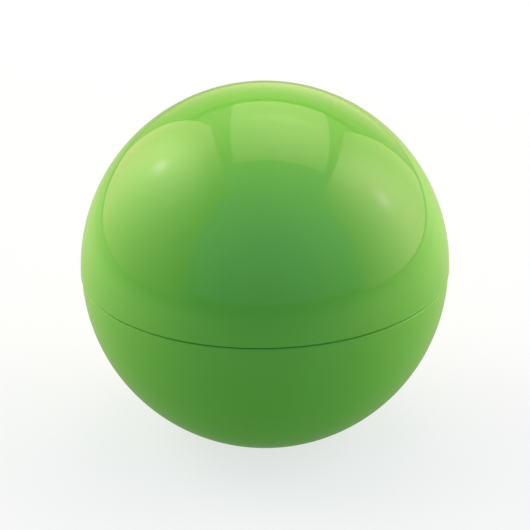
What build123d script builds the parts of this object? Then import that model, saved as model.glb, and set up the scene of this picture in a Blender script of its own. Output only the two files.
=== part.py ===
"""Ball-shaped lip balm pot: two glossy plastic shells that meet at a parting line, with a twist-off cap.

The pot stands on a small flat foot. Millimetres, +Z up, and the origin is the centre of the foot.
The lower shell holds a threaded collar, and the collar holds a perforated cage with the balm cast round it.
The upper shell holds a liner with the mating thread and a loose sealing ring.
"""
import os
from math import cos, radians, sin, sqrt

from build123d import *

# Ball: the two outer shells
BALL_D = 40.0  # outside diameter of the cap shell
FOOT_R = 7.5  # where the round side would meet the flat foot if the corner were sharp
FOOT_ROUND = 1.2  # rounding of that corner
BASE_INSET = 0.1  # the lower shell is this much smaller in radius than the cap
SHELL_T = 1.5  # wall of both shells
FLOOR_T = 1.9  # wall at the foot
SEAM_DROP = 0.5  # the parting line lies this far below the ball's centre
SEAM_GAP = 0.1  # open gap between the two shell rims
RIM_ROUND = 0.2  # rounded outer edge of each rim

# Label in the foot's recess
LABEL_R = 5.6
LABEL_T = 0.12
LABEL_RECESS_R = 5.8
LABEL_RECESS_DEPTH = 0.3

# Threaded neck and its mating liner
NECK_BORE_R = 13.6
NECK_R = 14.6  # root of the neck's thread
NECK_HEIGHT = 6.0  # neck above the parting line
LIP_ROUND_OUT = 0.4  # rounding of the neck's rim, outside and inside
LIP_ROUND_IN = 0.25
LINER_BORE_R = 15.7  # root of the liner's thread
LINER_SKIRT_R = 16.9  # outside of the liner's skirt
THREAD_STARTS = 3
THREAD_LEAD = 6.0  # rise of the cap in one full turn
THREAD_PLAY = 0.1  # axial play between the flanks of the closed cap
NECK_THREAD = {"root": NECK_R, "crest": 15.3, "root_w": 1.1, "crest_w": 0.6}
LINER_THREAD = {"root": LINER_BORE_R, "crest": 14.95, "root_w": 1.0, "crest_w": 0.56}
THREAD_BITE = 0.3  # how far each ridge is sunk into its wall
NECK_THREAD_LOW = 1.2  # lowest centre of a neck ridge above the parting line
NECK_THREAD_RISE = 3.7
LINER_THREAD_LOW = 0.55  # lowest centre of a liner ridge above the parting line
LINER_THREAD_RISE = 1.5

# Collar's flange and skirt, held in the lower shell
FLANGE_R = 18.3
FLANGE_TOP = -0.3  # heights here are from the parting line
FLANGE_LOW = -1.6
SKIRT_R = 17.35
SKIRT_T = 1.15
SKIRT_LOW = -5.2
LAND_R = 17.4  # cylindrical land inside the lower shell, round the skirt
SEAT_R = 18.35  # rebate in the lower shell that takes the flange
SNAP_Z = -3.6
SNAP_H = 0.5  # height of the snap groove; the bead in it is two thirds of that
SNAP_BEAD_H = SNAP_H * 2 / 3
SNAP_BEAD = 0.25
SNAP_PLAY = 0.07
KEY_COUNT = 4  # keys that stop the collar turning in the lower shell
KEY_W = 1.2
KEY_PLAY = 0.1
KEY_DEPTH = 1.0
KEY_ROOT = 0.75  # how far each key is sunk into the shell's wall
SHOULDER_R = 12.8  # inner shoulder that the cage sits on
SHOULDER_TOP = -0.6
SHOULDER_LOW = -2.8

# Balm and the cage inside it
CAGE_R = 13.5
CAGE_T = 1.2
CAGE_HOLE_R = 1.5
CAGE_HOLE_ROWS = ((6, 5.6), (12, 10.2))  # count and pitch radius of each row of holes
POST_R = 1.5
POST_H = 9.0
BARB_R = 2.6
BARB_T = 0.8
FIN_COUNT = 4
FIN_R = 7.5
FIN_H = 3.0
FIN_T = 0.9
CAGE_BEAD = 0.25  # bead in the neck's bore that keeps the cage down
CAGE_BEAD_H = 0.4
BEAD_PLAY = 0.05  # between a bead and the part that it keeps in place
BARB_SHARES = (0.5, 0.9)  # tops of the barbs, as shares of the post's height
BALM_LOW = -2.6
BALM_R = 14.6  # dome of the balm, about the ball's centre

# Cap liner and sealing ring
LINER_DOME_R = 15.6
LINER_T = 1.1
LINER_FOOT = -0.25  # the skirt's lower end, just above the collar's flange
LINER_FLANGE_R = 18.38
LINER_FLANGE_LOW = 0.4
LINER_FLANGE_T = 1.0
RIB_COUNT = 12
RIB_T = 0.9
RIB_PLAY = 0.08  # between the liner's ribs and the cap shell
CAP_BEAD_R = 18.15  # bead in the cap shell that keeps the liner's flange in
CAP_BEAD_H = 0.24
CAP_BEAD_TOP = LINER_FLANGE_LOW - 0.04  # just under the liner's flange
SEAL_T = 0.8
SEAL_PLAY = 0.05
SEAL_INNER_R = 13.8
SEAL_R = 15.6
SEAL_BEAD_R = 15.45  # bead in the liner that keeps the ring from dropping out
SEAL_BEAD_H = 0.25

# Worked out from the dimensions above
CAP_R = BALL_D / 2
BASE_R = CAP_R - BASE_INSET
CENTRE_Z = sqrt(BASE_R**2 - FOOT_R**2)
SEAM_Z = CENTRE_Z - SEAM_DROP
CAP_RIM_Z = SEAM_Z + SEAM_GAP / 2
BASE_RIM_Z = SEAM_Z - SEAM_GAP / 2
TOP_Z = CENTRE_Z + CAP_R
CUT_TOP_Z = CENTRE_Z + 1  # hollows of the lower shell are cut past its rim, up to here
SEAL_LOW = NECK_HEIGHT + SEAL_PLAY
SEAL_SEAT = SEAL_LOW + SEAL_T + SEAL_PLAY
SEAL_BEAD_TOP = SEAL_LOW - BEAD_PLAY
CAGE_TOP = SHOULDER_TOP + CAGE_T
CAGE_BEAD_LOW = CAGE_TOP + BEAD_PLAY


def half_width(thread, radius):
    """Half of a ridge's axial width at a radius between its root and its crest."""
    share = (radius - thread["root"]) / (thread["crest"] - thread["root"])
    return (thread["root_w"] + share * (thread["crest_w"] - thread["root_w"])) / 2


# Each liner ridge lies under a neck ridge, with THREAD_PLAY between their flanks in the closed cap
RIDGE_DROP = THREAD_PLAY + max(
    half_width(NECK_THREAD, r) + half_width(LINER_THREAD, r)
    for r in (LINER_THREAD["crest"], NECK_THREAD["crest"])
)
LINER_THREAD_ANGLE = 360 * (LINER_THREAD_LOW - NECK_THREAD_LOW + RIDGE_DROP) / THREAD_LEAD


def radial_plane(angle):
    """The upright half-plane at an angle about Z: local X is the radius and local Y is the height."""
    a = radians(angle)
    return Plane(origin=(0, 0, 0), x_dir=(cos(a), sin(a), 0), z_dir=(sin(a), -cos(a), 0))


def ring_face(inner, outer, low, high, mode=Mode.ADD):
    """A rectangle in the radial plane, with its heights given from the parting line."""
    with Locations((inner, SEAM_Z + low)):
        Rectangle(outer - inner, high - low, align=(Align.MIN, Align.MIN), mode=mode)


def ball_face(radius, mode=Mode.ADD):
    """A disc about the ball's centre in the radial plane."""
    with Locations((0, CENTRE_Z)):
        Circle(radius, mode=mode)


def keep_face(outer, low, high):
    """Keeps what lies between the axis and a radius, and between two heights above the foot's plane."""
    with Locations((0, low)):
        Rectangle(outer, high - low, align=(Align.MIN, Align.MIN), mode=Mode.INTERSECT)


def round_corner(builder, radius, height, size):
    """Rounds the profile's corner nearest to a radius and height."""
    fillet(builder.vertices().sort_by_distance((radius, height, 0))[0], size)


def rim_radius(sphere_radius, height):
    """Radius of a sphere about the ball's centre, at a height above the foot's plane."""
    return sqrt(sphere_radius**2 - (height - CENTRE_Z) ** 2)


def ridge_section(thread):
    """Trapezoid of one thread ridge. It reaches THREAD_BITE into the wall behind its root."""
    outward = 1 if thread["crest"] > thread["root"] else -1
    back, half, tip = thread["root"] - outward * THREAD_BITE, thread["root_w"] / 2, thread["crest_w"] / 2
    Polygon(
        (back, -half),
        (thread["root"], -half),
        (thread["crest"], -tip),
        (thread["crest"], tip),
        (thread["root"], half),
        (back, half),
        align=None,
    )


# Thread ridges, each made once at height 0 and angle 0
with BuildPart() as neck_ridge:
    with BuildLine() as neck_helix:
        Helix(THREAD_LEAD, NECK_THREAD_RISE, NECK_R)
    with BuildSketch(Plane.XZ):
        ridge_section(NECK_THREAD)
    sweep(path=neck_helix.line, is_frenet=True)

with BuildPart() as liner_ridge:
    with BuildLine() as liner_helix:
        Helix(THREAD_LEAD, LINER_THREAD_RISE, LINER_BORE_R)
    with BuildSketch(Plane.XZ):
        ridge_section(LINER_THREAD)
    sweep(path=liner_helix.line, is_frenet=True)

# Lower shell: a bowl with a flat foot, a label recess and a seat for the collar
with BuildPart() as base_shell:
    with BuildSketch(Plane.XZ) as outside:
        ball_face(BASE_R)
        keep_face(BASE_R, 0, BASE_RIM_Z)
        round_corner(outside, rim_radius(BASE_R, BASE_RIM_Z), BASE_RIM_Z, RIM_ROUND)
        round_corner(outside, FOOT_R, 0, FOOT_ROUND)
    revolve(axis=Axis.Z)
    with BuildSketch(Plane.XZ):
        ball_face(BASE_R - SHELL_T)
        keep_face(LAND_R, FLOOR_T, CUT_TOP_Z)
        ring_face(LAND_R, LAND_R + SNAP_BEAD + SNAP_PLAY, SNAP_Z - SNAP_H / 2, SNAP_Z + SNAP_H / 2)
        ring_face(0, SEAT_R, FLANGE_LOW, CUT_TOP_Z - SEAM_Z)
    revolve(axis=Axis.Z, mode=Mode.SUBTRACT)
    Cylinder(
        LABEL_RECESS_R,
        LABEL_RECESS_DEPTH,
        align=(Align.CENTER, Align.CENTER, Align.MIN),
        mode=Mode.SUBTRACT,
    )
    with PolarLocations(LAND_R, KEY_COUNT):
        with Locations((-KEY_DEPTH, 0, SEAM_Z + SKIRT_LOW)):
            Box(
                KEY_DEPTH + KEY_ROOT,
                KEY_W,
                FLANGE_LOW - SKIRT_LOW,
                align=(Align.MIN, Align.CENTER, Align.MIN),
            )
base_shell.part.label = "base_shell"

# Collar: threaded neck, flange, and a keyed skirt that snaps into the lower shell
with BuildPart() as neck_collar:
    with BuildSketch(Plane.XZ) as collar_profile:
        ring_face(NECK_BORE_R, NECK_R, SHOULDER_LOW, NECK_HEIGHT)
        ring_face(SHOULDER_R, NECK_R, SHOULDER_LOW, SHOULDER_TOP)
        ring_face(NECK_BORE_R, FLANGE_R, FLANGE_LOW, FLANGE_TOP)
        ring_face(SKIRT_R - SKIRT_T, SKIRT_R, SKIRT_LOW, FLANGE_LOW)
        ring_face(SKIRT_R, SKIRT_R + SNAP_BEAD, SNAP_Z - SNAP_BEAD_H / 2, SNAP_Z + SNAP_BEAD_H / 2)
        ring_face(NECK_BORE_R - CAGE_BEAD, NECK_BORE_R, CAGE_BEAD_LOW, CAGE_BEAD_LOW + CAGE_BEAD_H)
        round_corner(collar_profile, NECK_R, SEAM_Z + NECK_HEIGHT, LIP_ROUND_OUT)
        round_corner(collar_profile, NECK_BORE_R, SEAM_Z + NECK_HEIGHT, LIP_ROUND_IN)
    revolve(axis=Axis.Z)
    for start in range(THREAD_STARTS):
        with Locations(Location((0, 0, SEAM_Z + NECK_THREAD_LOW), (0, 0, 360 * start / THREAD_STARTS))):
            add(neck_ridge.part)
    with PolarLocations(SKIRT_R, KEY_COUNT):
        with Locations((-SKIRT_T - KEY_PLAY, 0, SEAM_Z + SKIRT_LOW)):
            Box(
                SKIRT_T + KEY_PLAY + KEY_DEPTH,
                KEY_W + 2 * KEY_PLAY,
                FLANGE_LOW - SKIRT_LOW,
                align=(Align.MIN, Align.CENTER, Align.MIN),
                mode=Mode.SUBTRACT,
            )
neck_collar.part.label = "neck_collar"

# Cage: a perforated disc with a barbed post and four fins that grip the balm
with BuildPart() as balm_cage:
    with Locations((0, 0, SEAM_Z + SHOULDER_TOP)):
        Cylinder(CAGE_R, CAGE_T, align=(Align.CENTER, Align.CENTER, Align.MIN))
    for count, pitch_r in CAGE_HOLE_ROWS:
        with Locations((0, 0, SEAM_Z + SHOULDER_TOP)):
            with PolarLocations(pitch_r, count, start_angle=180 / count):
                Cylinder(
                    CAGE_HOLE_R,
                    CAGE_T,
                    align=(Align.CENTER, Align.CENTER, Align.MIN),
                    mode=Mode.SUBTRACT,
                )
    with BuildSketch(Plane.XZ):
        ring_face(0, POST_R, SHOULDER_TOP, CAGE_TOP + POST_H)
        for share in BARB_SHARES:
            barb_top = CAGE_TOP + POST_H * share
            ring_face(0, BARB_R, barb_top - BARB_T, barb_top)
    revolve(axis=Axis.Z)
    with BuildSketch(*[radial_plane(360 * i / FIN_COUNT) for i in range(FIN_COUNT)]):
        ring_face(0, FIN_R, CAGE_TOP, CAGE_TOP + FIN_H)
    extrude(amount=FIN_T / 2, both=True)
balm_cage.part.label = "balm_cage"

# Balm: cast round the cage, up to the neck's bore, with a dome above the neck
with BuildPart() as balm:
    with BuildSketch(Plane.XZ):
        ball_face(BALM_R)
        keep_face(NECK_BORE_R, SEAM_Z + BALM_LOW, TOP_Z)
    revolve(axis=Axis.Z)
    add(neck_collar.part, mode=Mode.SUBTRACT)
    add(balm_cage.part, mode=Mode.SUBTRACT)
balm.part.label = "balm"

# Upper shell
with BuildPart() as cap_shell:
    with BuildSketch(Plane.XZ) as cap_outside:
        ball_face(CAP_R)
        keep_face(CAP_R, CAP_RIM_Z, TOP_Z)
        round_corner(cap_outside, rim_radius(CAP_R, CAP_RIM_Z), CAP_RIM_Z, RIM_ROUND)
    revolve(axis=Axis.Z)
    with BuildSketch(Plane.XZ):
        ball_face(CAP_R - SHELL_T)
        keep_face(CAP_R, CAP_RIM_Z, TOP_Z)
        ring_face(CAP_BEAD_R, CAP_R, CAP_BEAD_TOP - CAP_BEAD_H, CAP_BEAD_TOP, Mode.SUBTRACT)
    revolve(axis=Axis.Z, mode=Mode.SUBTRACT)
cap_shell.part.label = "cap_shell"

# Cap liner: dome over the balm, skirt with the mating thread, flange and ribs inside the cap shell
with BuildPart() as cap_liner:
    with BuildSketch(Plane.XZ):
        ball_face(LINER_DOME_R + LINER_T)
        keep_face(CAP_R, SEAM_Z + SEAL_SEAT, TOP_Z)
        ring_face(0, LINER_SKIRT_R, SEAL_SEAT, SEAL_SEAT + LINER_T)
        ball_face(LINER_DOME_R, Mode.SUBTRACT)
        ring_face(LINER_BORE_R, LINER_SKIRT_R, LINER_FOOT, SEAL_SEAT)
        ring_face(SEAL_BEAD_R, LINER_BORE_R, SEAL_BEAD_TOP - SEAL_BEAD_H, SEAL_BEAD_TOP)
        ring_face(LINER_SKIRT_R, LINER_FLANGE_R, LINER_FLANGE_LOW, LINER_FLANGE_LOW + LINER_FLANGE_T)
    revolve(axis=Axis.Z)
    with BuildSketch(*[radial_plane(360 * i / RIB_COUNT) for i in range(RIB_COUNT)]):
        ball_face(CAP_R - SHELL_T - RIB_PLAY)
        ring_face(LINER_SKIRT_R - LINER_T / 2, CAP_R, LINER_FLANGE_LOW, SEAL_SEAT + LINER_T, Mode.INTERSECT)
    extrude(amount=RIB_T / 2, both=True)
    for start in range(THREAD_STARTS):
        angle = LINER_THREAD_ANGLE + 360 * start / THREAD_STARTS
        with Locations(Location((0, 0, SEAM_Z + LINER_THREAD_LOW), (0, 0, angle))):
            add(liner_ridge.part)
cap_liner.part.label = "cap_liner"

# Loose sealing ring between the neck's rim and the liner
with BuildPart() as seal_ring:
    with BuildSketch(Plane.XZ):
        ring_face(SEAL_INNER_R, SEAL_R, SEAL_LOW, SEAL_LOW + SEAL_T)
    revolve(axis=Axis.Z)
seal_ring.part.label = "seal_ring"

# Blank label in the foot's recess
with BuildPart() as base_label:
    with Locations((0, 0, LABEL_RECESS_DEPTH - LABEL_T)):
        Cylinder(LABEL_R, LABEL_T, align=(Align.CENTER, Align.CENTER, Align.MIN))
base_label.part.label = "base_label"

os.makedirs("parts", exist_ok=True)
for piece in (base_shell, neck_collar, balm_cage, balm, cap_shell, cap_liner, seal_ring, base_label):
    export_step(piece.part, f"parts/{piece.part.label}.step")
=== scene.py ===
"""Looks for the ball-shaped lip balm pot: smooth meshes, materials, a light tent and the camera.

Metres, +Z up. The pot stands on z = 0, and the side seen first faces -Y.
"""

from math import atan2, cos, degrees, pi, radians, sin, sqrt, tan

import bmesh
import bpy
import numpy as np
from mathutils import Matrix, Vector


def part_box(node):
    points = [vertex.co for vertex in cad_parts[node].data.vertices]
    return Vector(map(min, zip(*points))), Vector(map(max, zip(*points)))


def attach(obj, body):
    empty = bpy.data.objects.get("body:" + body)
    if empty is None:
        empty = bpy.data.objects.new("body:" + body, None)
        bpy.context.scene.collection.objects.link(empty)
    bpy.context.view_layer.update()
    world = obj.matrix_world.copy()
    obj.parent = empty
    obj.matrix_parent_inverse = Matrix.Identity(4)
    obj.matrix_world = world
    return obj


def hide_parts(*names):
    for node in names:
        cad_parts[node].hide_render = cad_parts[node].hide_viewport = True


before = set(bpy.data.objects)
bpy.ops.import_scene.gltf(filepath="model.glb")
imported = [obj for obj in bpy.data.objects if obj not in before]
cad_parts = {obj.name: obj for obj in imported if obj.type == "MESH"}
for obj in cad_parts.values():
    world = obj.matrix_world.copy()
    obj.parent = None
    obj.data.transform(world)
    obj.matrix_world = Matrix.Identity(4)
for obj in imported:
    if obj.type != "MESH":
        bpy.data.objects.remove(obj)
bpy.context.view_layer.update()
MM = 0.001

# ---------------------------------------------------------------- sizes, from the frame
cap_low, cap_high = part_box("cap_shell")
base_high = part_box("base_shell")[1]
CENTRE = cap_high.z - 20 * MM  # height of the ball's centre
CAP_RIM = cap_low.z
BASE_RIM = base_high.z
SEAM = (CAP_RIM + BASE_RIM) / 2
HAIR = 0.004 * MM  # the skins lie this much inside the true spheres, so inside the frame's faceted box
CAP_R = 20 * MM - HAIR
BASE_R = 19.9 * MM - HAIR
SHELL_T = 1.5 * MM
FLOOR_T = 1.9 * MM
RIM_ROUND = 0.2 * MM
FOOT_ROUND = 1.2 * MM
TURNS = 384  # steps round each turned mesh
SHARP = radians(35)  # edges that turn by more than this are shaded sharp
TINY = 1e-8  # lengths closer than this are one length

# Millimetres: radii from the axis, and heights from the parting line
CAP_BEAD_R, CAP_BEAD = 18.15, (0.12, 0.16, 0.32, 0.36)  # inside the cap's rim, under the liner's flange
RECESS_R, RECESS = 5.8, 0.3  # label recess in the foot, and its depth
LABEL_R = 5.6
LAND_R, POCKET_R = 17.4, 18.35  # inside of the lower shell, round the collar's skirt and round its flange
GROOVE_R, GROOVE = 17.72, (-3.85, -3.85, -3.35, -3.35)  # snap groove in the land
NECK_R, NECK_BORE, NECK_TOP = 14.6, 13.6, 6.0
NECK_WALL = (0.2, 5.5)  # stretch of the neck's outside that carries its thread
SKIRT_R, SKIRT_BORE, SKIRT_LOW = 17.35, 16.2, -5.2
SNAP_R, SNAP = 17.6, (-3.77, -3.7, -3.5, -3.43)  # bead on the skirt, in the groove
GRIP_R, GRIP = 13.35, (1.05, 0.95, 0.75, 0.65)  # bead inside the neck, over the cage
FLANGE_R, FLANGE_LOW, FLANGE_HIGH = 18.3, -1.6, -0.3
RING_BORE, RING_LOW, RING_HIGH = 12.8, -2.8, -0.6  # ring inside the collar, which holds the cage
LINER_R, LINER_BORE, LINER_LOW, LINER_SHOULDER = 16.9, 15.7, -0.25, 8.0
LINER_WALL = (0.0, 5.7)  # stretch of the liner's bore beside the neck's thread
LINER_ROOF = 6.9  # underside of the liner over the sealing ring
CATCH_R, CATCH = 15.45, (5.75, 5.8, 5.95, 6.0)  # bead inside the liner, under the sealing ring
LINER_DOME_OUT, LINER_DOME_IN = 16.7, 15.6
LINER_FLANGE_R, LINER_FLANGE_LOW, LINER_FLANGE_HIGH = 18.38, 0.4, 1.4
DOME_R, BALM_R, PLUG_R = 14.56, 13.56, 12.76  # the balm over, in and under the neck
BALM_LOW, PLUG_TOP, DOME_LOW = -2.6, -0.56, 5.3
KEYS = 4  # keys of the lower shell, in slots of the collar's skirt

# ---------------------------------------------------------------- camera
VIEW_ELEVATION = 24.2
VIEW_DISTANCE = 15.5 * CAP_R
VIEW_ROLL = -0.93
BALL_SHARE = 0.6955  # the ball's width over the picture's width
AIM_DROP = 0.03 * MM


def add_camera():
    """The camera looks at the ball's centre from the front and above, with a slight roll."""
    data = bpy.data.cameras.new("view")
    camera = bpy.data.objects.new("view", data)
    bpy.context.scene.collection.objects.link(camera)
    tilt = radians(VIEW_ELEVATION)
    aim = Vector((0, 0, CENTRE - AIM_DROP))
    camera.location = aim + VIEW_DISTANCE * Vector((0, -cos(tilt), sin(tilt)))
    turn = (aim - camera.location).to_track_quat("-Z", "Y").to_matrix()
    camera.rotation_euler = (turn @ Matrix.Rotation(radians(VIEW_ROLL), 3, "Z")).to_euler()
    data.lens = BALL_SHARE / 2 * data.sensor_width * sqrt(VIEW_DISTANCE**2 - CAP_R**2) / CAP_R
    data.clip_start = 0.01
    bpy.context.scene.camera = camera


add_camera()
bpy.context.scene.view_settings.view_transform = "Standard"


# ---------------------------------------------------------------- outlines: points (radius, height)
def at(radius, height):
    """A point from millimetres, with its height given from the parting line."""
    return (radius * MM, SEAM + height * MM)


def level_at(height):
    """The height in metres of one given in millimetres from the parting line."""
    return at(0, height)[1]


def sphere_height(radius, at_radius):
    """Height over the ball's centre of a sphere's point at a radius from the axis."""
    return sqrt(radius**2 - at_radius**2)


def ball_arc(radius, start, end, steps):
    """Points on a circle about the ball's centre, between two angles in degrees from level."""
    angles = np.radians(np.linspace(start, end, steps + 1))
    return [(radius * cos(a), CENTRE + radius * sin(a)) for a in angles]


def height_angle(radius, height):
    """The angle from level, in degrees, of a sphere's point at a height."""
    return degrees(np.arcsin((height - CENTRE) / radius))


def corner(before, point, after, size, steps):
    """Points that round a corner with an arc."""
    a, b, p = Vector(before), Vector(after), Vector(point)
    u, v = (a - p).normalized(), (b - p).normalized()
    half = u.angle(v) / 2
    middle = p + (u + v).normalized() * size / sin(half)
    start = p + u * size / tan(half) - middle
    end = p + v * size / tan(half) - middle
    turn = -start.angle_signed(end)
    points = []
    for i in range(steps + 1):
        c, s = cos(turn * i / steps), sin(turn * i / steps)
        points.append(tuple(middle + Vector((start.x * c - start.y * s, start.x * s + start.y * c))))
    return points


def soften(points, sizes, closed=False, steps=5):
    """An outline with its corners rounded by sizes, radii in millimetres with 0 for sharp.

    An open outline keeps its ends.
    """
    count = len(points)
    out = []
    for i, point in enumerate(points):
        size = sizes[i] * MM
        if size == 0 or (not closed and i in (0, count - 1)):
            out.append(point)
        else:
            out += corner(points[i - 1], point, points[(i + 1) % count], size, steps)
    return out


def rim(radius, height, up):
    """The rounded outer edge of a shell: the angle where it leaves the sphere, and its arc."""
    z = height + up * RIM_ROUND
    r = sqrt((radius - RIM_ROUND) ** 2 - (z - CENTRE) ** 2)
    leave = atan2(z - CENTRE, r)
    return degrees(leave), small_arc((r, z), RIM_ROUND, leave, -up * pi / 2, 9)


def small_arc(middle, radius, start, end, count):
    """Points on a circle about a point, between two angles in radians."""
    r, z = middle
    return [(r + radius * cos(a), z + radius * sin(a)) for a in np.linspace(start, end, count)]


def bead(wall_r, bead_r, heights):
    """A bead or groove of a wall: leaving the wall, two points at its own radius, and back on the wall."""
    return [at(r, h) for r, h in zip((wall_r, bead_r, bead_r, wall_r), heights)]


def block(low_r, high_r, low, high):
    """A rectangle between two radii and two heights."""
    return [at(low_r, low), at(high_r, low), at(high_r, high), at(low_r, high)]


# ---------------------------------------------------------------- meshes
def shade_smooth(mesh):
    mesh.polygons.foreach_set("use_smooth", [True] * len(mesh.polygons))
    mesh.set_sharp_from_angle(angle=SHARP)


def add_object(name, work):
    """A mesh object made from a bmesh, with outward faces."""
    bmesh.ops.recalc_face_normals(work, faces=work.faces)
    mesh = bpy.data.meshes.new(name)
    work.to_mesh(mesh)
    work.free()
    piece = bpy.data.objects.new(name, mesh)
    bpy.context.scene.collection.objects.link(piece)
    return piece


def even(angles, radius, height):
    """The plain ring of an outline's point: the same radius and height at every angle."""
    return np.full_like(angles, radius), np.full_like(angles, height)


def ring_points(outline, reshape):
    """The points of a turned mesh, and the row of point numbers for each point of its outline."""
    angles = np.linspace(0, 2 * pi, TURNS, endpoint=False)
    rows, points = [], []
    for i, (r, z) in enumerate(outline):
        if (Vector((r, z)) - Vector(outline[i - 1])).length < TINY:
            continue
        if r < TINY:
            rows.append([len(points)] * TURNS)
            points.append((0.0, 0.0, z))
            continue
        radii, heights = reshape(angles, r, z)
        rows.append(range(len(points), len(points) + TURNS))
        points += zip(radii * np.cos(angles), radii * np.sin(angles), heights)
    return rows, points


def lathe(name, outline, closed=True, reshape=even):
    """Turns an outline about Z, where an end on the axis closes in one point.

    closed joins the outline's last point to its first. reshape(angles, radius, height) returns the radii and
    heights round the axis, as for a thread or a dent.
    """
    rows, points = ring_points(outline, reshape)
    faces = []
    for k in range(len(rows) if closed else len(rows) - 1):
        low, high = rows[k], rows[(k + 1) % len(rows)]
        for i in range(TURNS):
            j = (i + 1) % TURNS
            face = list(dict.fromkeys((low[i], low[j], high[j], high[i])))
            if len(face) > 2:
                faces.append(face)
    draft = bpy.data.meshes.new("draft")
    draft.from_pydata(points, [], faces)
    work = bmesh.new()
    work.from_mesh(draft)
    bpy.data.meshes.remove(draft)
    piece = add_object(name, work)
    shade_smooth(piece.data)
    return piece


def add_bars(name, count, width, outline):
    """Radial bars round the axis: an outline of points (radius, height) made width thick, with soft edges."""
    work = bmesh.new()
    for i in range(count):
        angle = 2 * pi * i / count
        side = Vector((-sin(angle), cos(angle), 0)) * width / 2
        middle = [Vector((r * cos(angle), r * sin(angle), z)) for r, z in outline]
        ends = [[work.verts.new(point + shift) for point in middle] for shift in (-side, side)]
        work.faces.new(ends[0])
        work.faces.new(ends[1][::-1])
        for k in range(len(outline)):
            n = (k + 1) % len(outline)
            work.faces.new((ends[0][n], ends[0][k], ends[1][k], ends[1][n]))
    piece = add_object(name, work)
    bevel = piece.modifiers.new("edges", "BEVEL")
    bevel.width = 0.06 * MM
    bevel.segments = 2
    bevel.limit_method = "ANGLE"
    bevel.angle_limit = radians(50)
    bake_modifiers(piece)
    return piece


def bake_modifiers(piece):
    """Applies a piece's modifiers to its mesh."""
    bpy.context.view_layer.update()
    result = bpy.data.meshes.new_from_object(piece.evaluated_get(bpy.context.evaluated_depsgraph_get()))
    piece.modifiers.clear()
    piece.data = result
    shade_smooth(result)


def carve(piece, cutter):
    """Cuts one object's shape out of a piece."""
    cut = piece.modifiers.new("cut", "BOOLEAN")
    cut.operation = "DIFFERENCE"
    cut.solver = "EXACT"
    cut.object = cutter
    bake_modifiers(piece)


def place(piece, body, slot, *nodes):
    """Says which body a piece rides on, and hides the CAD nodes that it stands for. slot is not used."""
    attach(piece, body)
    if nodes:
        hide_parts(*nodes)


# ---------------------------------------------------------------- shells
def make_cap_shell():
    inner = CAP_R - SHELL_T
    leave, edge = rim(CAP_R, CAP_RIM, 1)
    mouth = [
        edge[-1],
        (inner, CAP_RIM),
        (inner, level_at(CAP_BEAD[0])),
        at(CAP_BEAD_R, CAP_BEAD[1]),
        at(CAP_BEAD_R, CAP_BEAD[2]),
        (inner, level_at(CAP_BEAD[3])),
    ]
    outline = ball_arc(CAP_R, 90, leave, 130) + edge[1:-1]
    outline += soften(mouth, [0, 0.03, 0, 0.03, 0.03, 0])
    outline += ball_arc(inner, height_angle(inner, mouth[-1][1]), 90, 60)[1:]
    return lathe("cap_shell_skin", outline, closed=False)


def make_base_shell():
    inner = BASE_R - SHELL_T
    leave, edge = rim(BASE_R, BASE_RIM, -1)
    toe_r = sqrt((BASE_R - FOOT_ROUND) ** 2 - (FOOT_ROUND - CENTRE) ** 2)
    toe = atan2(FOOT_ROUND - CENTRE, toe_r)
    foot = small_arc((toe_r, FOOT_ROUND), FOOT_ROUND, toe, -pi / 2, 13)
    sole = [foot[-1], (RECESS_R * MM, 0), (RECESS_R * MM, RECESS * MM), (0, RECESS * MM)]
    bowl_top = height_angle(inner, CENTRE - sphere_height(inner, LAND_R * MM))
    bowl = ball_arc(inner, height_angle(inner, FLOOR_T), bowl_top, 40)
    wall = [
        bowl[-1],
        *bead(LAND_R, GROOVE_R, GROOVE),
        at(LAND_R, FLANGE_LOW),
        at(POCKET_R, FLANGE_LOW),
        (POCKET_R * MM, BASE_RIM),
        edge[-1],
    ]
    outline = edge[::-1] + ball_arc(BASE_R, leave, degrees(toe), 130)[1:] + foot[1:-1]
    outline += soften(sole, [0, 0.12, 0.05, 0]) + [(0, FLOOR_T)] + bowl[:-1]
    outline += soften(wall, [0, 0, 0.05, 0.05, 0.05, 0.1, 0.05, 0.04, 0])[:-1]
    return lathe("base_shell_skin", outline)


place(make_cap_shell(), "cap", "cap_plastic", "cap_shell")
place(make_base_shell(), "base", "base_plastic", "base_shell")
place(add_bars("collar_keys", KEYS, 1.2 * MM, block(16.4, 17.6, SKIRT_LOW, -1.7)), "base", "base_plastic")


# ---------------------------------------------------------------- threads
LEAD = 6.0 * MM  # rise of the cap in one full turn
STARTS = 3
FIRST_LOW, RISE = 1.2, 3.7  # height of a ridge's first middle, and its rise from there
DEPTH, ROOT_W, CREST_W = 0.7, 1.1, 0.6  # a ridge's section
RUN_OUT = radians(9)  # each ridge fades out over this angle at its ends
ROW = 0.07  # height of a mesh row on a threaded wall, in millimetres


def ridges(angles, height):
    """How far the neck's thread stands out of its wall, in metres."""
    flank = (ROOT_W - CREST_W) / 2 * MM
    span = 2 * pi * RISE * MM / LEAD
    out = np.zeros_like(angles)
    for start in range(STARTS):
        turn = (angles - 2 * pi * start / STARTS) % (2 * pi)
        away = np.abs(height - (SEAM + FIRST_LOW * MM + LEAD * turn / (2 * pi)))
        taper = np.clip(np.minimum(turn, span - turn) / RUN_OUT, 0, 1)
        taper = taper * taper * (3 - 2 * taper)
        out = np.maximum(out, taper * np.clip((ROOT_W / 2 * MM - away) / flank, 0, 1))
    return DEPTH * MM * out


def threaded(angles, r, z):
    """Raises the thread on the neck's outside, and leaves the rest of the collar as it is."""
    radii, heights = even(angles, r, z)
    if level_at(NECK_WALL[0]) < z < level_at(NECK_WALL[1]) and abs(r - NECK_R * MM) < TINY:
        radii = radii + ridges(angles, z)
    return radii, heights


def wall_rows(radius, wall):
    """Points up a wall, close enough together for a thread, without the wall's ends."""
    low, high = wall
    return [at(radius, h) for h in np.linspace(low, high, round((high - low) / ROW) + 1)][1:-1]


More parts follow.
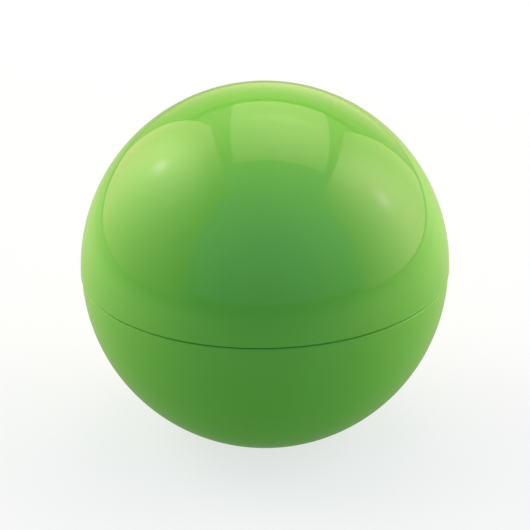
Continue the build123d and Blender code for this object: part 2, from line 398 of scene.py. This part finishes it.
def make_collar():
    under = [
        at(RING_BORE, RING_LOW),
        at(NECK_R, RING_LOW),
        at(NECK_R, FLANGE_LOW),
        at(SKIRT_BORE, FLANGE_LOW),
        at(SKIRT_BORE, SKIRT_LOW),
        at(SKIRT_R, SKIRT_LOW),
        *bead(SKIRT_R, SNAP_R, SNAP),
        at(SKIRT_R, FLANGE_LOW),
        at(FLANGE_R, FLANGE_LOW),
        at(FLANGE_R, FLANGE_HIGH),
        at(NECK_R, FLANGE_HIGH),
        at(NECK_R, NECK_WALL[0]),
    ]
    lip_low = NECK_WALL[1]
    lip = [at(NECK_R, lip_low), at(NECK_R, NECK_TOP), at(NECK_BORE, NECK_TOP), at(NECK_BORE, lip_low)]
    bore = [
        at(NECK_BORE, lip_low),
        *bead(NECK_BORE, GRIP_R, GRIP),
        at(NECK_BORE, RING_HIGH),
        at(RING_BORE, RING_HIGH),
    ]
    outline = soften(under, [0.1, 0.1, 0.15, 0.15, 0.2, 0.2, 0, 0.05, 0.05, 0, 0.1, 0.12, 0.15, 0.2, 0])
    outline += wall_rows(NECK_R, NECK_WALL) + soften(lip, [0, 0.4, 0.25, 0])
    outline += soften(bore, [0, 0, 0.05, 0.05, 0, 0.1, 0.1])[1:]
    collar = lathe("neck_collar_skin", outline, reshape=threaded)
    cutter = add_bars("slot_cutter", KEYS, 1.4 * MM, block(15.9, 18.0, -5.4, -1.62))
    carve(collar, cutter)
    bpy.data.objects.remove(cutter)
    return collar


def make_liner():
    """The liner, with a plain bore: its thread is only in the frame's own cap_liner."""
    dome_out, dome_in = LINER_DOME_OUT * MM, LINER_DOME_IN * MM
    shoulder = [
        at(14.92, LINER_SHOULDER),
        at(LINER_R, LINER_SHOULDER),
        at(LINER_R, LINER_FLANGE_HIGH),
        at(LINER_FLANGE_R, LINER_FLANGE_HIGH),
        at(LINER_FLANGE_R, LINER_FLANGE_LOW),
        at(LINER_R, LINER_FLANGE_LOW),
        at(LINER_R, LINER_LOW),
        at(LINER_BORE, LINER_LOW),
        at(LINER_BORE, LINER_WALL[0]),
    ]
    seat = [
        at(LINER_BORE, LINER_WALL[1]),
        *bead(LINER_BORE, CATCH_R, CATCH),
        at(LINER_BORE, LINER_ROOF),
        at(14.23, LINER_ROOF),
    ]
    outline = ball_arc(dome_out, 90, height_angle(dome_out, level_at(LINER_SHOULDER)), 40)[:-1]
    outline += soften(shoulder, [0, 0.35, 0.3, 0.1, 0.1, 0.2, 0.15, 0.08, 0])
    outline += wall_rows(LINER_BORE, LINER_WALL) + soften(seat, [0, 0, 0.04, 0.04, 0, 0.15, 0])
    outline += ball_arc(dome_in, height_angle(dome_in, level_at(LINER_ROOF)), 90, 50)[1:]
    return lathe("cap_liner_skin", outline, closed=False)


def rib_outline(inner=16.8, low=1.38, high=7.7, ball=18.4):
    """A rib between the liner's skirt and the inside of the cap's ball."""
    heights = np.linspace(level_at(low), level_at(high), 12)
    outer = [(sqrt((ball * MM) ** 2 - (z - CENTRE) ** 2), z) for z in heights]
    return [at(inner, high), at(inner, low)] + outer


place(make_collar(), "base", "collar_plastic", "neck_collar")
place(make_liner(), "cap", "liner_plastic", "cap_liner")
place(add_bars("liner_ribs", 12, 0.9 * MM, rib_outline()), "cap", "liner_plastic")


# ---------------------------------------------------------------- balm, seal and label
def sunken(angles, r, z):
    """Lowers the balm's dome by a shallow sink mark and slow unevenness, as poured wax has when it cools."""
    low, high = level_at(5.6), CENTRE + DOME_R * MM
    share = np.clip((z - low) / (high - low), 0, 1)
    slow = np.sin(2 * angles + 900 * r) + 0.6 * np.sin(3 * angles - 1300 * r + 1)
    slow = (slow + 0.4 * np.sin(5 * angles + 2.2)) * np.clip(r / (3 * MM), 0, 1)
    sink = 0.16 * MM * np.exp(-((r / (5.5 * MM)) ** 2))
    return np.full_like(angles, r), z - share * (sink + 0.02 * MM * (2 + slow))


def make_balm():
    dome = DOME_R * MM
    edge = height_angle(dome, CENTRE + sphere_height(dome, 13.4 * MM))
    wall = [
        ball_arc(dome, edge, edge, 1)[0],
        at(BALM_R, DOME_LOW),
        at(BALM_R, PLUG_TOP),
        at(PLUG_R, PLUG_TOP),
        at(PLUG_R, BALM_LOW),
        at(0, BALM_LOW),
    ]
    outline = ball_arc(dome, 90, edge, 110)[:-1] + soften(wall, [0, 0.3, 0.1, 0.1, 0.15, 0])
    return lathe("balm_skin", outline, closed=False, reshape=sunken)


def make_label():
    low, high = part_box("base_label")
    film = [(0, low.z), (LABEL_R * MM, low.z), (LABEL_R * MM, high.z), (0, high.z)]
    return lathe("base_label_skin", soften(film, [0, 0.03, 0.03, 0]), closed=False)


balm_skin = make_balm()
carve(balm_skin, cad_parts["balm_cage"])
place(balm_skin, "base", "balm_wax", "balm")
washer = soften(block(13.8, 15.6, 6.05, 6.85), [0.12] * 4, closed=True)
place(lathe("seal_ring_skin", washer), "seal", "seal_foam", "seal_ring")
place(make_label(), "base", "label_film", "base_label")


# ---------------------------------------------------------------- materials
class Look:
    """A Principled material and short calls that add nodes to it. Sizes are in millimetres."""

    def __init__(self, name, **constants):
        self.material = bpy.data.materials.new(name)
        self.material.use_nodes = True
        self.tree = self.material.node_tree
        self.shader = self.tree.nodes["Principled BSDF"]
        self.point = self.tree.nodes.new("ShaderNodeTexCoord").outputs["Object"]
        for key, value in constants.items():
            self.shader.inputs[key.replace("_", " ")].default_value = value

    def stretched(self, turn, scale):
        """The point turned by angles in degrees and stretched along its axes."""
        mapping = self.tree.nodes.new("ShaderNodeMapping")
        mapping.inputs["Rotation"].default_value = [radians(a) for a in turn]
        mapping.inputs["Scale"].default_value = scale
        self.tree.links.new(self.point, mapping.inputs["Vector"])
        return mapping.outputs[0]

    def noise(self, size, detail=3.0, warp=0.0, point=None, roughness=0.5):
        node = self.tree.nodes.new("ShaderNodeTexNoise")
        node.inputs["Scale"].default_value = 1 / (size * MM)
        node.inputs["Detail"].default_value = detail
        node.inputs["Roughness"].default_value = roughness
        node.inputs["Distortion"].default_value = warp
        self.tree.links.new(point or self.point, node.inputs["Vector"])
        return node.outputs["Fac"]

    def cells(self, size):
        node = self.tree.nodes.new("ShaderNodeTexVoronoi")
        node.inputs["Scale"].default_value = 1 / (size * MM)
        self.tree.links.new(self.point, node.inputs["Vector"])
        return node.outputs["Distance"]

    def height(self):
        axes = self.tree.nodes.new("ShaderNodeSeparateXYZ")
        self.tree.links.new(self.point, axes.inputs[0])
        return axes.outputs["Z"]

    def ramp(self, value, start, end, low=0.0, high=1.0):
        return ramp(self.tree, value, start, end, low, high)

    def calc(self, operation, a, b=None):
        return calc(self.tree, operation, a, b)

    def times(self, a, b):
        return self.calc("MULTIPLY", a, b)

    def plus(self, a, b):
        return self.calc("ADD", a, b)

    def blend(self, share, first, second):
        """A colour between two colours or colour sockets."""
        node = self.tree.nodes.new("ShaderNodeMix")
        node.data_type = "RGBA"
        self.tree.links.new(share, node.inputs["Factor"])
        for socket, value in zip(("A_Color", "B_Color"), (first, second)):
            target = next(i for i in node.inputs if i.identifier == socket)
            if isinstance(value, tuple):
                target.default_value = (*value, 1)
            else:
                self.tree.links.new(value, target)
        return next(o for o in node.outputs if o.identifier == "Result_Color")

    def wire(self, socket, value):
        self.tree.links.new(value, self.shader.inputs[socket])

    def bump(self, *layers):
        """Bump from layers of (height socket, height in millimetres)."""
        normal = None
        for value, tall in layers:
            node = self.tree.nodes.new("ShaderNodeBump")
            node.inputs["Distance"].default_value = tall * MM
            self.tree.links.new(value, node.inputs["Height"])
            if normal is not None:
                self.tree.links.new(normal, node.inputs["Normal"])
            normal = node.outputs["Normal"]
        self.wire("Normal", normal)


def ramp(tree, value, start, end, low, high):
    """A smooth step from low to high as value goes from start to end."""
    node = tree.nodes.new("ShaderNodeMapRange")
    node.interpolation_type = "SMOOTHSTEP"
    tree.links.new(value, node.inputs["Value"])
    for socket, number in zip(("From Min", "From Max", "To Min", "To Max"), (start, end, low, high)):
        node.inputs[socket].default_value = number
    return node.outputs["Result"]


def calc(tree, operation, a, b=None):
    """A math node's output. a and b are sockets or numbers."""
    node = tree.nodes.new("ShaderNodeMath")
    node.operation = operation
    for socket, value in zip(node.inputs, (a, b)):
        if isinstance(value, (int, float)):
            socket.default_value = value
        elif value is not None:
            tree.links.new(value, socket)
    return node.outputs[0]


def scratches(look, turn, width, sparse):
    """Thin hairlines along one direction: a stretched noise with only its peaks kept, in loose patches."""
    along, across = 0.12, 1 / width
    lines = look.noise(1.0, detail=2.0, warp=0.3, point=look.stretched(turn, (along, across, across)))
    patches = look.ramp(look.noise(9.0, detail=2.0), 0.45, 0.65)
    return look.times(look.ramp(lines, sparse, sparse + 0.05), patches)


GREEN = (0.19, 0.66, 0.09)
DEEP_GREEN = (0.182, 0.64, 0.084)
RUBBED_GREEN = (0.4, 0.75, 0.3)


def shell_wear(look):
    """How worn a shell is, from 0 to 1: a little at the parting line's rims, and more on the foot."""
    height = look.height()
    from_seam = look.calc("ABSOLUTE", look.calc("SUBTRACT", height, SEAM))
    at_rims = look.times(look.ramp(from_seam, 0.05 * MM, 0.3 * MM, 1.0, 0.0), look.noise(0.8, detail=4.0))
    at_foot = look.times(look.ramp(height, 0.05 * MM, 0.7 * MM, 1.0, 0.0), look.noise(0.6, detail=4.0))
    return look.calc("MAXIMUM", look.times(at_rims, 0.4), at_foot)


def make_gloss():
    """Polished moulded plastic: faint orange peel, slow colour drift, hairlines, haze and a little wear."""
    look = Look("gloss_green", IOR=1.5, Subsurface_Weight=0.06, Subsurface_Scale=0.6 * MM)
    look.shader.inputs["Subsurface Radius"].default_value = (0.6, 1.0, 0.4)
    wear = shell_wear(look)
    one_way = scratches(look, turn=(20, 35, 10), width=0.05, sparse=0.66)
    other_way = scratches(look, turn=(-50, 15, 70), width=0.06, sparse=0.67)
    hairlines = look.plus(one_way, other_way)
    drift = look.ramp(look.noise(11.0, warp=0.4), 0.3, 0.7)
    colour = look.blend(drift, DEEP_GREEN, GREEN)
    look.wire("Base Color", look.blend(look.times(wear, 0.14), colour, RUBBED_GREEN))
    haze = look.times(look.ramp(look.noise(3.5, detail=5.0, warp=0.5), 0.4, 0.75), 0.03)
    rough = look.plus(look.plus(haze, 0.025), look.times(hairlines, 0.06))
    look.wire("Roughness", look.plus(rough, look.times(wear, 0.28)))
    unevenness = look.noise(7.0, detail=1.0)
    peel = look.noise(1.7, detail=2.0)
    cuts = look.times(hairlines, -1.0)
    grit = look.times(look.noise(0.12), wear)
    look.bump((unevenness, 0.006), (peel, 0.0012), (cuts, 0.0006), (grit, 0.006))
    return look.material


def make_moulded(name, rough):
    """Satin white plastic that lets a little light in: fine spark grain, flow lines and colour drift."""
    look = Look(name, IOR=1.49, Subsurface_Weight=0.22, Subsurface_Scale=0.9 * MM)
    look.shader.inputs["Subsurface Radius"].default_value = (1.0, 0.95, 0.85)
    drift = look.ramp(look.noise(8.0, warp=0.6), 0.3, 0.7)
    look.wire("Base Color", look.blend(drift, (0.77, 0.78, 0.755), (0.82, 0.83, 0.81)))
    flow = look.noise(1.0, warp=0.4, point=look.stretched((0, 0, 25), (0.15, 0.15, 1.1)))
    grain = look.noise(0.16, detail=4.0, roughness=0.65)
    flow_share, grain_share = 0.12, 0.1
    marks = look.plus(look.times(flow, flow_share), look.times(grain, grain_share))
    look.wire("Roughness", look.plus(marks, rough - (flow_share + grain_share) / 2))
    look.bump((flow, 0.004), (grain, 0.0035))
    return look.material


def make_wax():
    """Cast wax: cloudy colour, a soft skin with pour ripples, small pits and a light bloom."""
    look = Look("balm_wax", IOR=1.44, Subsurface_Weight=0.7, Subsurface_Scale=2.2 * MM)
    look.shader.inputs["Subsurface Radius"].default_value = (1.0, 0.75, 0.4)
    cloud = look.ramp(look.noise(5.5, detail=4.0, warp=1.2), 0.3, 0.72)
    bloom = look.ramp(look.noise(2.2, detail=5.0, warp=0.8), 0.52, 0.78)
    body = look.blend(cloud, (0.84, 0.78, 0.56), (0.9, 0.86, 0.68))
    look.wire("Base Color", look.blend(look.times(bloom, 0.45), body, (0.94, 0.92, 0.84)))
    look.wire("Roughness", look.plus(look.times(bloom, 0.22), 0.3))
    ripple = look.noise(3.2, detail=2.0, warp=1.5)
    pits = look.ramp(look.cells(0.9), 0.06, 0.2)
    skin = look.noise(0.35, detail=4.0, warp=0.3)
    look.bump((ripple, 0.035), (pits, 0.018), (skin, 0.006))
    return look.material


def make_foam():
    """Closed-cell foam sheet: small round cells, matte."""
    look = Look("seal_foam", IOR=1.45, Subsurface_Weight=0.2, Subsurface_Scale=0.5 * MM)
    cells = look.ramp(look.cells(0.22), 0.1, 0.6)
    fine = look.ramp(look.cells(0.09), 0.1, 0.6)
    tone = look.times(cells, look.ramp(look.noise(2.5), 0.2, 0.8, 0.7, 1.0))
    look.wire("Base Color", look.blend(tone, (0.82, 0.82, 0.8), (0.7, 0.7, 0.68)))
    look.wire("Roughness", look.plus(look.times(fine, -0.15), 0.9))
    look.bump((look.times(cells, -1.0), 0.02), (look.times(fine, -1.0), 0.008))
    return look.material


def make_film():
    """Blank coated paper: faint fibres under a satin film."""
    look = Look("label_film", IOR=1.5, Coat_Weight=0.4, Coat_Roughness=0.18)
    fibres = look.noise(0.5, detail=4.0, warp=2.5, point=look.stretched((0, 0, 40), (0.35, 1.3, 1.0)))
    tooth = look.noise(0.18, detail=4.0, warp=1.0)
    share = look.times(look.ramp(fibres, 0.35, 0.7), 0.6)
    look.wire("Base Color", look.blend(share, (0.87, 0.875, 0.86), (0.79, 0.79, 0.77)))
    look.wire("Roughness", look.plus(look.times(tooth, 0.2), 0.38))
    look.bump((fibres, 0.006), (tooth, 0.003))
    return look.material


gloss = make_gloss()
collar_look = make_moulded("collar_satin", rough=0.36)
liner_look = make_moulded("liner_satin", rough=0.4)
cage_look = make_moulded("cage_satin", rough=0.42)
LOOKS = {
    "cap_shell_skin": gloss,
    "base_shell_skin": gloss,
    "collar_keys": gloss,
    "neck_collar_skin": collar_look,
    "cap_liner_skin": liner_look,
    "liner_ribs": liner_look,
    "balm_skin": make_wax(),
    "seal_ring_skin": make_foam(),
    "base_label_skin": make_film(),
}
for piece_name, look in LOOKS.items():
    mesh = bpy.data.objects[piece_name].data
    mesh.materials.clear()
    mesh.materials.append(look)
for material_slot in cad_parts["balm_cage"].material_slots:
    material_slot.material = cage_look


# ---------------------------------------------------------------- light tent
UNIT = 0.45  # height of the tent's ceiling over the ball's centre; the tent below is in these units
WARM = (1.4, 1.0, 0.75)
GREENISH = (0.8, 1.0, 0.5)
AMBER = (1.5, 0.88, 0.72)
PINK = (1.5, 0.9, 1.3)
COOL = (0.54, 0.96, 1.5)
BOUNCED = (1.0, 1.0, 0.5)
TABLE = -CENTRE / UNIT  # height of the table in tent units
FAR = 9.0  # a width so large that a spot doesn't fall off along that axis


def vector_calc(tree, operation, a, b):
    """A vector math node's output. a and b are sockets or vectors."""
    node = tree.nodes.new("ShaderNodeVectorMath")
    node.operation = operation
    for socket, value in zip(node.inputs, (a, b)):
        if hasattr(value, "is_linked"):
            tree.links.new(value, socket)
        else:
            socket.default_value = value
    return node.outputs["Value" if operation == "DOT_PRODUCT" else "Vector"]


def all_over(strength, colour):
    """A spot with the same light everywhere."""
    return (0, 0, 0), (FAR, FAR, FAR), strength, colour


def soft_spot(tree, here, centre, width, strength, colour):
    """Light that falls off from a point as a bell curve, with its own width along each axis."""
    middle = Vector(centre) * UNIT + Vector((0, 0, CENTRE))
    away = vector_calc(tree, "DIVIDE", vector_calc(tree, "SUBTRACT", here, middle), Vector(width) * UNIT)
    bell = calc(tree, "EXPONENT", calc(tree, "MULTIPLY", vector_calc(tree, "DOT_PRODUCT", away, away), -1.0))
    return vector_calc(tree, "MULTIPLY", bell, Vector(colour) * strength)


def glow(name, spots):
    """An emission material that adds up soft spots: (centre, width, strength, colour)."""
    material = bpy.data.materials.new(name)
    material.use_nodes = True
    tree = material.node_tree
    tree.nodes.clear()
    here = tree.nodes.new("ShaderNodeTexCoord").outputs["Object"]
    total = Vector((0, 0, 0))
    for spot in spots:
        total = vector_calc(tree, "ADD", soft_spot(tree, here, *spot), total)
    emission = tree.nodes.new("ShaderNodeEmission")
    tree.links.new(vector_calc(tree, "MAXIMUM", total, Vector((0, 0, 0))), emission.inputs["Color"])
    out = tree.nodes.new("ShaderNodeOutputMaterial")
    tree.links.new(emission.outputs[0], out.inputs["Surface"])
    return material


def add_stage(name, points, material):
    """A flat sheet of the studio, which isn't part of the object."""
    mesh = bpy.data.meshes.new(name)
    mesh.from_pydata(points, [], [(0, 1, 2, 3)])
    mesh.materials.append(material)
    sheet = bpy.data.objects.new(name, mesh)
    bpy.context.scene.collection.objects.link(sheet)
    return sheet


def add_panel(name, corners, spots):
    """A light panel from four corners in tent units about the ball's centre."""
    points = [Vector(c) * UNIT + Vector((0, 0, CENTRE)) for c in corners]
    panel = add_stage(name, points, glow(name, spots))
    panel.visible_camera = False


def upright(front, rear, low, high, lean=0.0):
    """Corners of an upright panel between two points (x, y) of the table.

    lean is how far the rear edge's top comes forward, as a share of the panel's length.
    """
    top = [r + (f - r) * lean for f, r in zip(front, rear)]
    return [(*front, low), (*rear, low), (*top, high), (*front, high)]


# Each spot is (centre, width, strength, colour), in tent units about the ball's centre
left = [
    ((-0.9, 1.9, 0.9), (FAR, 1.8, 2.4), 1.3, AMBER),
    ((-0.85, 1.0, 2.0), (FAR, 1.1, 0.7), 0.65, AMBER),
    ((-0.87, 0.6, 0.8), (FAR, 0.6, 0.9), 0.9, AMBER),
    ((-0.87, 0.35, 0.8), (FAR, 0.6, 0.55), 2.2, GREENISH),
    ((-0.83, 0.46, 0.66), (FAR, 0.11, 0.1), 1.8, PINK),
]
right = [
    ((0.9, 1.3, 0.7), (FAR, 1.6, 2.0), 1.25, WARM),
    ((0.9, 0.25, 0.6), (FAR, 0.42, 0.8), 1.9, WARM),
    ((0.87, 0.19, 0.43), (FAR, 0.08, 0.1), 1.2, PINK),
]
top = [
    ((0.17, 1.2, 1.0), (FAR, 1.2, FAR), 1.3, WARM),
    ((0.2, 0.35, 1.0), (0.6, 0.45, FAR), 1.25, WARM),
    ((0.2, 0.75, 1.0), (0.35, 0.1, FAR), 0.5, WARM),
]
back = [all_over(0.38, WARM), ((0.25, 1.6, 0.05), (0.7, FAR, 0.6), 0.55, WARM)]
dark = [all_over(0.15, WARM)]
add_panel("panel_left", upright((-0.7, -0.6), (-1.0, 2.3), TABLE, 2.0, lean=0.22), left)
add_panel("panel_right", upright((0.8, -0.44), (1.03, 1.5), TABLE, 1.2, lean=0.1), right)
add_panel("panel_top", [(-0.27, 0, 1), (0.62, 0, 1), (0.62, 1.42, 1), (-0.27, 1.42, 1)], top)
add_panel("panel_back", upright((-0.75, 1.6), (1.15, 1.6), TABLE, 0.95), back)
add_panel("frame_back", upright((-1.3, 2.32), (1.65, 2.32), 1.36, 1.65), dark)


def add_world():
    """Pale for the camera. For the object it is dim and cool in front, and warmer behind and above."""
    world = bpy.data.worlds.new("surround")
    bpy.context.scene.world = world
    world.use_nodes = True
    tree = world.node_tree
    tree.nodes.clear()
    axes = tree.nodes.new("ShaderNodeSeparateXYZ")
    tree.links.new(tree.nodes.new("ShaderNodeTexCoord").outputs["Generated"], axes.inputs[0])
    y, z = axes.outputs["Y"], axes.outputs["Z"]
    ahead = calc(tree, "MULTIPLY", ramp(tree, y, -0.3, 0.3, 1.0, 0.0), ramp(tree, z, 0.0, 0.5, 0.65, 1.1))
    behind = ramp(tree, y, -0.2, 0.5, 0.0, 1.0)
    above = calc(tree, "MULTIPLY", ramp(tree, y, -0.4, 0.5, 0.0, 1.0), ramp(tree, z, 0.3, 0.8, 0.0, 1.0))
    light = vector_calc(tree, "MULTIPLY", ahead, Vector(COOL) * 0.36)
    for share, colour in ((behind, Vector(WARM) * 0.3), (above, Vector(AMBER) * 0.4)):
        light = vector_calc(tree, "ADD", light, vector_calc(tree, "MULTIPLY", share, colour))
    dim = tree.nodes.new("ShaderNodeBackground")
    tree.links.new(light, dim.inputs["Color"])
    pale = tree.nodes.new("ShaderNodeBackground")
    pale.inputs["Color"].default_value = (0.87, 0.87, 0.87, 1)
    mix = tree.nodes.new("ShaderNodeMixShader")
    tree.links.new(tree.nodes.new("ShaderNodeLightPath").outputs["Is Camera Ray"], mix.inputs["Fac"])
    tree.links.new(dim.outputs[0], mix.inputs[1])
    tree.links.new(pale.outputs[0], mix.inputs[2])
    out = tree.nodes.new("ShaderNodeOutputWorld")
    tree.links.new(mix.outputs[0], out.inputs["Surface"])


def level(height, size=4.0):
    """Corners of a level square about the axis, in metres."""
    return [(-size, -size, height), (size, -size, height), (size, size, height), (-size, size, height)]


def add_floor():
    """A pale floor for the camera only, and under it a glow for what the table throws up at the object."""
    material = bpy.data.materials.new("floor")
    material.use_nodes = True
    shader = material.node_tree.nodes["Principled BSDF"]
    shader.inputs["Base Color"].default_value = (0.2, 0.25, 0.3, 1)
    shader.inputs["Roughness"].default_value = 0.9
    shader.inputs["Specular IOR Level"].default_value = 0.05
    shader.inputs["Emission Color"].default_value = (1, 1, 1, 1)
    shader.inputs["Emission Strength"].default_value = 0.71
    floor = add_stage("floor", level(-0.02 * MM), material)
    floor.visible_diffuse = False
    floor.visible_glossy = False
    floor.visible_shadow = False
    spots = [
        ((0, 0, TABLE), (FAR, FAR, FAR), 0.05, COOL),
        ((-0.5, 0.35, TABLE), (0.38, 0.5, FAR), 0.95, BOUNCED),
        ((0.5, 0.35, TABLE), (0.38, 0.5, FAR), 1.38, BOUNCED),
        ((-0.2, 0.05, TABLE), (0.16, 0.25, FAR), 0.7, BOUNCED),
        ((0.2, 0.05, TABLE), (0.16, 0.25, FAR), 0.6, BOUNCED),
        ((0.2, 1.1, TABLE), (0.7, 0.4, FAR), 0.45, WARM),
        # This spot takes light away right under the ball: a painted shadow of the ball on the table, in the
        # glow.
        ((0, 0.02, TABLE), (0.07, 0.09, FAR), -0.27, WARM),
    ]
    bounce = add_stage("floor_bounce", level(-0.2 * MM), glow("floor_bounce", spots))
    bounce.visible_camera = False


add_world()
add_floor()
